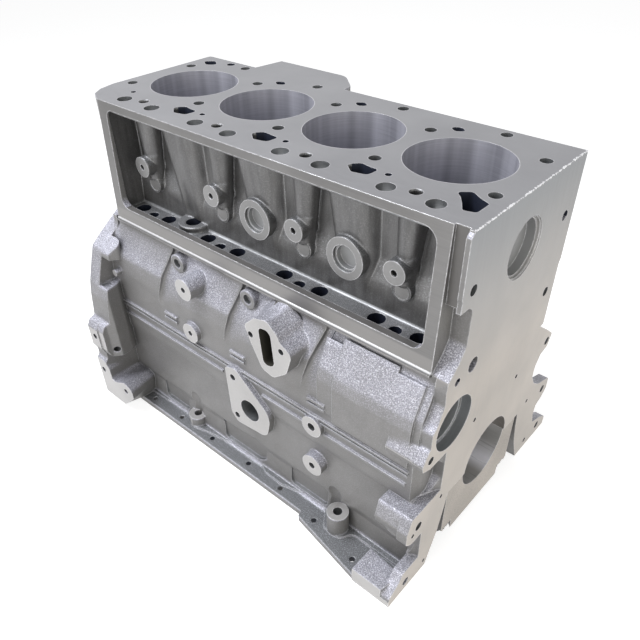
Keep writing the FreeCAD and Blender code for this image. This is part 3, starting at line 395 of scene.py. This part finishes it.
def machined_material(name, colour, darker, rough, metal, stretch, height=FINE_CUT,
                      edge_radius=CUT_EDGE, pits=0.0, band=None, cool_reflection=0.0, burr=False,
                      streak=None, rim=False):
    """Cut metal, whose lines run along the axes with the least stretch.

    Only some faces have pits or a painted bluish reflection towards the deck, each given
    by its strength, a band of painted light (two heights between which a colour comes in,
    and the colour), the burr line, a streak of painted highlight (its colour) or the painted
    highlight of the bore rims."""
    material, tree, shader = new_material(name)
    marks = use_group(tree, MARKS, Stretch=stretch)
    tone = blend_colour(tree, marks["Cloud"], darker, colour)
    tone = blend_colour(tree, times(tree, marks["Tone"], 0.35), tone, toned(colour, 1.25))
    if pits > 0.0:
        pitted = ramp(tree, marks["Height"], 0.5, 0.36, 0.0, pits)
        tone = blend_colour(tree, pitted, tone, toned(darker, 0.35))
    if band:
        # Painted light: a colour that comes in between two heights.
        low, high, band_colour = band
        entered = ramp(tree, parts_of(tree, place(tree))["Z"], low, high)
        tone = blend_colour(tree, entered, tone, band_colour)
    if edge_radius > 0.0:
        # Painted highlight along rounded edges.
        tone = blend_colour(tree, use_group(tree, EDGES, Amount=0.8)["Edge"], tone, CUT_EDGE_HIGHLIGHT)
    if cool_reflection > 0.0:
        # Painted reflection: a bluish grey coming in towards the deck.
        painted_reflection = ramp(tree, parts_of(tree, place(tree))["Z"], 0.14, 0.32, 0.0, cool_reflection)
        tone = blend_colour(tree, painted_reflection, tone, COOL_REFLECTION_GREY)
    if burr:
        tone = blend_colour(tree, use_group(tree, BURR)["Burr"], tone, TORN_BURR)
    if streak:
        # Painted highlight: a bright streak on the lower side of the bore.
        tone = blend_colour(tree, use_group(tree, BORE_HIGHLIGHT)["Streak"], tone, streak)
    if rim:
        # Painted highlight round the cylinder edges.
        tone = blend_colour(tree, use_group(tree, RIM_HIGHLIGHT)["Rim"], tone, RIM_HIGHLIGHT_COLOUR)
    uneven = ramp(tree, marks["Tone"], 0.0, 1.0, rough - 0.06, rough + 0.08)
    feed(tree, shader, Base_Color=tone, Roughness=uneven, Metallic=metal)
    bump(tree, shader, marks["Height"], 0.6, height, edge_radius)
    return material


def honed_material(name, colour, darker, rough, metal):
    """Honed cylinder wall: soft bands of painted reflection by direction, and fine rings."""
    material, tree, shader = new_material(name)
    rings = ramp(tree, noise(tree, place(tree, (24.0, 24.0, 900.0))), 0.3, 0.7)
    # Painted reflection: soft light and dark bands by the direction of the wall.
    bands = times(tree, use_group(tree, SHEEN)["Band"], 0.75)
    tone = blend_colour(tree, maths(tree, "ADD", bands, times(tree, rings, 0.25)), darker, colour)
    feed(tree, shader, Base_Color=tone, Roughness=rough, Metallic=metal)
    return material


FINISHES = {
    "cast": cast_material(
        "cast_skin", side=grey(0.225, 0.02), painted_top=bluish(0.37, 0.15), rough=0.48, metal=0.4,
        grain_height=0.0004),
    # Darker than the outer cast skin: painted shade inside the valley.
    "valley": cast_material(
        "valley_skin", side=grey(0.12, 0.01), painted_top=grey(0.26, -0.02), rough=0.38, metal=0.55,
        grain_height=0.0001, edge_radius=0.004, sparkle=0.25, streaks=0.4),
    "deck": machined_material(
        "deck_face", bluish(0.36, 0.04), bluish(0.30, 0.05), rough=0.36, metal=0.75,
        stretch=(60.0, 700.0, 60.0), burr=True, rim=True),
    # The rear face turns bluish towards the deck: painted reflection.
    "rear": machined_material(
        "rear_face_metal", grey(0.465, 0.085), grey(0.37, 0.075), rough=0.42, metal=0.6,
        stretch=(60.0, 260.0, 22.0), burr=True, cool_reflection=0.8),
    "machined": machined_material(
        "machined_face", grey(0.50, 0.02), grey(0.42, 0.02), rough=0.4, metal=0.7,
        stretch=(60.0, 60.0, 500.0)),
    "boss": machined_material(
        "boss_face_metal", grey(0.44, 0.02), grey(0.36, 0.02), rough=0.42, metal=0.6,
        stretch=(400.0, 60.0, 400.0)),
    # Lighter low on the frame: painted light where its lower part turns upward.
    "frame": machined_material(
        "valley_frame_metal", grey(0.20, 0.02), grey(0.15, 0.02), rough=0.34, metal=0.8,
        stretch=(14.0, 60.0, 800.0), band=(0.1965, 0.1945, grey(0.23, 0.03))),
    "brow": machined_material(
        "frame_brow_metal", grey(0.14, 0.04), grey(0.11, 0.04), rough=0.5, metal=0.4,
        stretch=(60.0, 60.0, 400.0)),
    "rail": cast_material(
        "rail_skin", side=grey(0.20, -0.02), painted_top=grey(0.17, -0.04), rough=0.45, metal=0.4,
        grain_height=0.0002, sparkle=0.25),
    # Painted highlight along the fillet at the foot of the valley wall.
    "foot_line": machined_material(
        "painted_wall_foot_highlight", grey(0.50, -0.02), grey(0.14, -0.02), rough=0.4, metal=0.4,
        stretch=(260.0, 260.0, 260.0), height=0.0004, edge_radius=0.0),
    # Painted shadow: near-black walls for the shade inside the pump slot.
    "slot_dark": machined_material(
        "slot_shadow", (0.05, 0.046, 0.036, 1.0), (0.03, 0.028, 0.022, 1.0), rough=0.6, metal=0.1,
        stretch=(60.0, 60.0, 60.0), height=0.00005, edge_radius=0.0),
    "bore": honed_material(
        "honed_bore", bluish(0.60, 0.1), bluish(0.29, 0.12), rough=0.32, metal=0.35),
    # Darker than the cap bores below it: painted shade on the upper half of the crank bore.
    "saddle": machined_material(
        "saddle_bore", grey(0.24, 0.08), grey(0.18, 0.08), rough=0.35, metal=0.5,
        stretch=(14.0, 420.0, 420.0)),
    "tunnel": machined_material(
        "cam_tunnel_bore", grey(0.34, -0.04), grey(0.26, -0.04), rough=0.4, metal=0.6,
        stretch=(700.0, 60.0, 60.0)),
    # The bead's crest: a bright line of painted highlight.
    "bead": machined_material(
        "frame_bead_metal", grey(0.16), grey(0.12), rough=0.45, metal=0.4,
        stretch=(60.0, 400.0, 400.0), edge_radius=0.0, band=(0.1805, 0.1812, grey(0.55))),
    "valley_face": machined_material(
        "valley_face_metal", grey(0.25, 0.01), grey(0.19, 0.01), rough=0.36, metal=0.7,
        stretch=(400.0, 60.0, 400.0)),
    # Painted shade: near-black blue walls for the shade inside passages and holes.
    "deep": machined_material(
        "painted_hole_shade", (0.012, 0.016, 0.03, 1.0), (0.03, 0.035, 0.055, 1.0), rough=0.5, metal=0.2,
        stretch=(60.0, 60.0, 900.0), edge_radius=0.0),
    "drilled": machined_material(
        "drilled_wall", grey(0.30, -0.03), grey(0.16, -0.03), rough=0.4, metal=0.7,
        stretch=(60.0, 60.0, 900.0), edge_radius=0.0),
}
CAP_IRON = cast_material(
    "cap_iron_skin", side=grey(0.20, 0.02), painted_top=grey(0.30), rough=0.5, metal=0.4,
    grain_height=0.0002, edge_radius=0.001)
CAP_END = machined_material(
    "cap_end_metal", grey(0.46, 0.085), grey(0.32, 0.085), rough=0.5, metal=0.4,
    stretch=(650.0, 650.0, 650.0), height=0.0004, pits=0.4)
# Lighter than the saddle above it, as painted light, with a streak of painted highlight on the lower side.
CAP_BORE = machined_material(
    "cap_bore", grey(0.42, 0.02), grey(0.36), rough=0.3, metal=0.2,
    stretch=(14.0, 420.0, 420.0), streak=bluish(0.9, 0.08))
DULL_PLUG = machined_material(
    "dull_plug", grey(0.26, 0.01), grey(0.20, 0.01), rough=0.45, metal=0.5,
    stretch=(300.0, 300.0, 300.0), height=0.00005)
PLUG_STEEL = machined_material(
    "pressed_steel", grey(0.34, -0.01), grey(0.29, -0.01), rough=0.5, metal=0.5,
    stretch=(5.0, 5.0, 5.0), height=0.00001)
BUSH_METAL = machined_material(
    "bearing_bush_metal", grey(0.46, -0.03), grey(0.40, -0.03), rough=0.4, metal=0.5,
    stretch=(700.0, 90.0, 90.0), height=0.00001)
BOLT_STEEL = machined_material(
    "blackened_bolt", grey(0.06), grey(0.04), rough=0.4, metal=0.6,
    stretch=(300.0, 300.0, 300.0))


# The finish of a face of the casting, from its place and direction alone.
def inside(centre, box):
    return all(low < value < high for value, (low, high) in zip(centre, box))


def near_any(value, planes):
    return any(abs(value - plane) < ON_PLANE for plane in planes)


def on_bore(centre, along, axis, radius):
    """True on the wall of a bore that runs along this axis of the frame."""
    u, v = [centre[i] for i in range(3) if i != along]
    return abs(math.hypot(u - axis[0], v - axis[1]) - radius) < ON_BORE


def joint_finish(centre, normal):
    """Deck, rear face, and the pan and front faces."""
    if normal.z > FLAT and centre.z > DECK_Z - ON_JOINT:
        return "deck"
    if normal.z < -FLAT and centre.z < PAN_Z + ON_JOINT:
        return "machined"
    if normal.x > FLAT and centre.x > -ON_REAR:
        return "rear"
    if normal.x < -FLAT and centre.x < FRONT_X + ON_JOINT:
        return "machined"
    return None


def bore_finish(centre, normal):
    """Cylinders, crankshaft and camshaft bores, and the seats of core plugs."""
    if abs(normal.z) < UPRIGHT and centre.z > CYLINDER_FOOT_Z:
        if any(on_bore(centre, Z_AXIS, (x, 0.0), BORE_RADIUS) for x in CYLINDER_X):
            return "bore"
    if abs(normal.x) < UPRIGHT:
        if on_bore(centre, X_AXIS, (0.0, 0.0), CRANK_RADIUS):
            return "saddle"
        if any(on_bore(centre, X_AXIS, CAM_AXIS, radius) for radius in CAM_RADII):
            return "tunnel"
        if any(on_bore(centre, X_AXIS, PLUG_AXIS, radius) for radius in PLUG_RADII):
            return "machined"
    return None


def valley_side_finish(centre, normal):
    """Bosses, tops of the feet, and the valley's frame and pads."""
    if normal.y < -FLAT and near_any(centre.y, BOSS_FACES_Y):
        return "boss"
    if normal.z > FLAT and centre.y < FEET_Y and near_any(centre.z, FOOT_TOPS_Z):
        return "boss"
    if normal.y < -0.95 and inside(centre, FRAME_FACE):
        return "frame"
    if abs(normal.x) < 0.5 and inside(centre, FRAME_BEAD):
        # Upward faces on the bead's crest take the painted highlight.
        return "bead" if normal.z > UPRIGHT and centre.z > BEAD_CREST_Z else "frame"
    if normal.z > 0.9 and inside(centre, FRAME_LIP):
        return "brow"
    if normal.y < -FLAT and inside(centre, RECESS_STRIP):
        return "brow"
    if normal.y < -FLAT and inside(centre, PAD_ROW) and near_any(centre.y, VALLEY_PADS_Y):
        return "valley_face"
    return None


def hole_finish(centre, normal):
    """Passages painted dark for the shade in them, and the lighter walls of bolt holes and the outer row.
    """
    if abs(normal.z) >= 0.5:
        return None
    if inside(centre, TAPPET_HOLES):
        return "deep"
    if not inside(centre, DECK_HOLES):
        return None
    if centre.y < VALLEY_BACK_Y and centre.z < VALLEY_CEILING_Z:
        return None
    bolt = any(on_bore(centre, Z_AXIS, axis, BOLT_RADIUS) for axis in HEAD_BOLTS)
    return "drilled" if bolt or centre.y < OUTER_HOLES_Y else "deep"


def skin_finish(centre, normal):
    """Cast skin, which differs on the rail, in the pump slot and in the valley."""
    if normal.z > 0.9 and inside(centre, RAIL_TOP):
        return "rail"
    if inside(centre, PUMP_SLOT):
        return "slot_dark"
    if 0.15 < normal.z < 0.97 and inside(centre, VALLEY_FOOT):
        return "foot_line"
    if inside(centre, VALLEY):
        return "valley"
    return "cast"


def face_finish(centre, normal):
    rules = (joint_finish, bore_finish, valley_side_finish, hole_finish, skin_finish)
    return next(filter(None, (rule(centre, normal) for rule in rules)))


# Merged copies of CAD nodes, whose faces carry their own finish.
def merged_copy(name):
    """The node's faces with doubled points merged, smooth up to sharp edges."""
    mesh = bmesh.new()
    mesh.from_mesh(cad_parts[name].data)
    bmesh.ops.remove_doubles(mesh, verts=mesh.verts, dist=MERGE_DISTANCE)
    mesh.faces.ensure_lookup_table()
    mesh.faces.index_update()
    for face in mesh.faces:
        face.smooth = True
    for edge in mesh.edges:
        edge.smooth = edge.calc_face_angle(0.0) < SHARP_ANGLE
    return mesh


def new_object(mesh, name, materials):
    """Turns a bmesh into an object of the scene that has these materials."""
    data = bpy.data.meshes.new(name)
    mesh.to_mesh(data)
    mesh.free()
    for material in materials:
        data.materials.append(material)
    made = bpy.data.objects.new(name, data)
    bpy.context.scene.collection.objects.link(made)
    return made


def regions_of(mesh):
    """Groups of faces that run into each other without a sharp edge."""
    seen = set()
    found = []
    for first in mesh.faces:
        if first.index in seen:
            continue
        seen.add(first.index)
        group = [first]
        queue = [first]
        while queue:
            face = queue.pop()
            for edge in face.edges:
                if len(edge.link_faces) != 2 or edge.calc_face_angle(0.0) > SHARP_ANGLE:
                    continue
                for other in edge.link_faces:
                    if other.index not in seen:
                        seen.add(other.index)
                        group.append(other)
                        queue.append(other)
        found.append(group)
    return found


def small_hole(group):
    """True for the wall of a drilled hole: a closed ring that looks inward."""
    area = sum(face.calc_area() for face in group)
    if area > HOLE_AREA or len(group) < HOLE_FACES:
        return False
    mean = Vector((0.0, 0.0, 0.0))
    centre = Vector((0.0, 0.0, 0.0))
    for face in group:
        mean += face.normal * face.calc_area()
        centre += face.calc_center_median() * face.calc_area()
    centre /= area
    if mean.length > HOLE_LEAN * area:
        return False
    inward = sum((face.calc_center_median() - centre).dot(face.normal) * face.calc_area() for face in group)
    return inward < 0.0


def casting_skin():
    """The whole casting. Holes that no rule knows are found by their shape."""
    mesh = merged_copy("block_casting")
    slots = {name: number for number, name in enumerate(FINISHES)}
    for face in mesh.faces:
        face.material_index = slots[face_finish(face.calc_center_median(), face.normal)]
    for group in regions_of(mesh):
        if all(face.material_index == slots["cast"] for face in group) and small_hole(group):
            in_pan_rail = group[0].calc_center_median().z < PAN_HOLES_Z
            for face in group:
                face.material_index = slots["deep" if in_pan_rail else "drilled"]
    skin = new_object(mesh, "casting_skin", FINISHES.values())
    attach(skin, "root")
    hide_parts("block_casting")


def cap_skin(name):
    """Bearing cap with a bright bore and rough end faces."""
    mesh = merged_copy(name)
    for face in mesh.faces:
        if abs(face.normal.x) > FLAT:
            face.material_index = 1
        elif on_bore(face.calc_center_median(), X_AXIS, (0.0, 0.0), CRANK_RADIUS):
            face.material_index = 2
        else:
            face.material_index = 0
    skin = new_object(mesh, name + "_skin", (CAP_IRON, CAP_END, CAP_BORE))
    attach(skin, "root")
    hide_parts(name)


def small_piece_metal(name):
    if name == "valley_small_plugs":
        return DULL_PLUG
    if name == "main_cap_bolts":
        return BOLT_STEEL
    if name.startswith("cam_bush"):
        return BUSH_METAL
    return PLUG_STEEL


def pieces():
    caps = ["main_cap_%d" % (number + 1) for number in range(BULKHEADS)]
    casting_skin()
    for name in caps:
        cap_skin(name)
    for name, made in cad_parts.items():
        if name != "block_casting" and name not in caps:
            made.data.materials.clear()
            made.data.materials.append(small_piece_metal(name))


# Camera: placed where the photograph was taken from.
def camera():
    lens = bpy.data.cameras.new("photo_camera")
    lens.lens = 35.74
    lens.sensor_width = 36.0
    lens.shift_y = 0.0452
    lens.clip_end = 50.0
    eye = bpy.data.objects.new("photo_camera", lens)
    eye.location = (0.18797, -0.48622, 0.54648)
    eye.rotation_euler = Euler([math.radians(a) for a in (51.1087, 0.8839, 41.2052)])
    bpy.context.scene.collection.objects.link(eye)
    bpy.context.scene.camera = eye


# Studio: a pale floor and world that shine for the camera, and soft lamps.
def seen_directly(tree, unseen, seen):
    """The second value for camera, glossy and transmission rays, else the first."""
    path = node(tree, "ShaderNodeLightPath").outputs
    total = maths(tree, "ADD", path["Is Camera Ray"], path["Is Glossy Ray"])
    total = maths(tree, "ADD", total, path["Is Transmission Ray"], clamp=True)
    return ramp(tree, total, 0.0, 1.0, unseen, seen)


def pale_world():
    world = bpy.data.worlds.new("studio")
    tree = empty_tree(world)
    back = feed(tree, node(tree, "ShaderNodeBackground"), Strength=seen_directly(tree, 0.42, 1.0))
    feed(tree, node(tree, "ShaderNodeOutputWorld"), Surface=back.outputs["Background"])
    bpy.context.scene.world = world


def pale_floor():
    material = bpy.data.materials.new("pale_floor")
    tree = empty_tree(material)
    diffuse = feed(tree, node(tree, "ShaderNodeBsdfDiffuse"), Color=(0.6, 0.6, 0.6, 1.0))
    glow = feed(tree, node(tree, "ShaderNodeEmission"), Strength=seen_directly(tree, 0.0, 0.75))
    both = feed(tree, node(tree, "ShaderNodeAddShader"), i0=diffuse.outputs[0], i1=glow.outputs[0])
    feed(tree, node(tree, "ShaderNodeOutputMaterial"), Surface=both.outputs[0])

    flat = bmesh.new()
    bmesh.ops.create_grid(flat, x_segments=1, y_segments=1, size=6.0)
    bmesh.ops.translate(flat, verts=flat.verts, vec=(-0.26, 0.0, PAN_Z))
    floor = new_object(flat, "floor", [material])


def soft_lamp(name, stands, aim, size, power, tint):
    lamp = bpy.data.lights.new(name, "AREA")
    lamp.shape = "RECTANGLE"
    lamp.size, lamp.size_y = size
    lamp.energy = power
    lamp.color = tint
    made = bpy.data.objects.new(name, lamp)
    made.location = stands
    made.rotation_euler = (Vector(aim) - Vector(stands)).to_track_quat("-Z", "Y").to_euler()
    bpy.context.scene.collection.objects.link(made)


def lamps():
    soft_lamp("top_light", stands=(-0.8, -0.55, 1.4), aim=(-0.25, 0.0, 0.1),
              size=(0.8, 0.7), power=24.0, tint=(0.92, 0.94, 1.0))
    soft_lamp("rear_light", stands=(1.3, -0.3, 0.45), aim=(0.0, 0.0, -0.05),
              size=(1.2, 0.9), power=8.5, tint=(1.0, 0.97, 0.89))
    soft_lamp("near_light", stands=(-0.1, -1.6, 0.45), aim=(-0.3, 0.0, 0.12),
              size=(1.6, 1.0), power=8.0, tint=(1.0, 0.98, 0.96))


pieces()
camera()
pale_world()
pale_floor()
lamps()
bpy.context.scene.view_settings.view_transform = "Standard"
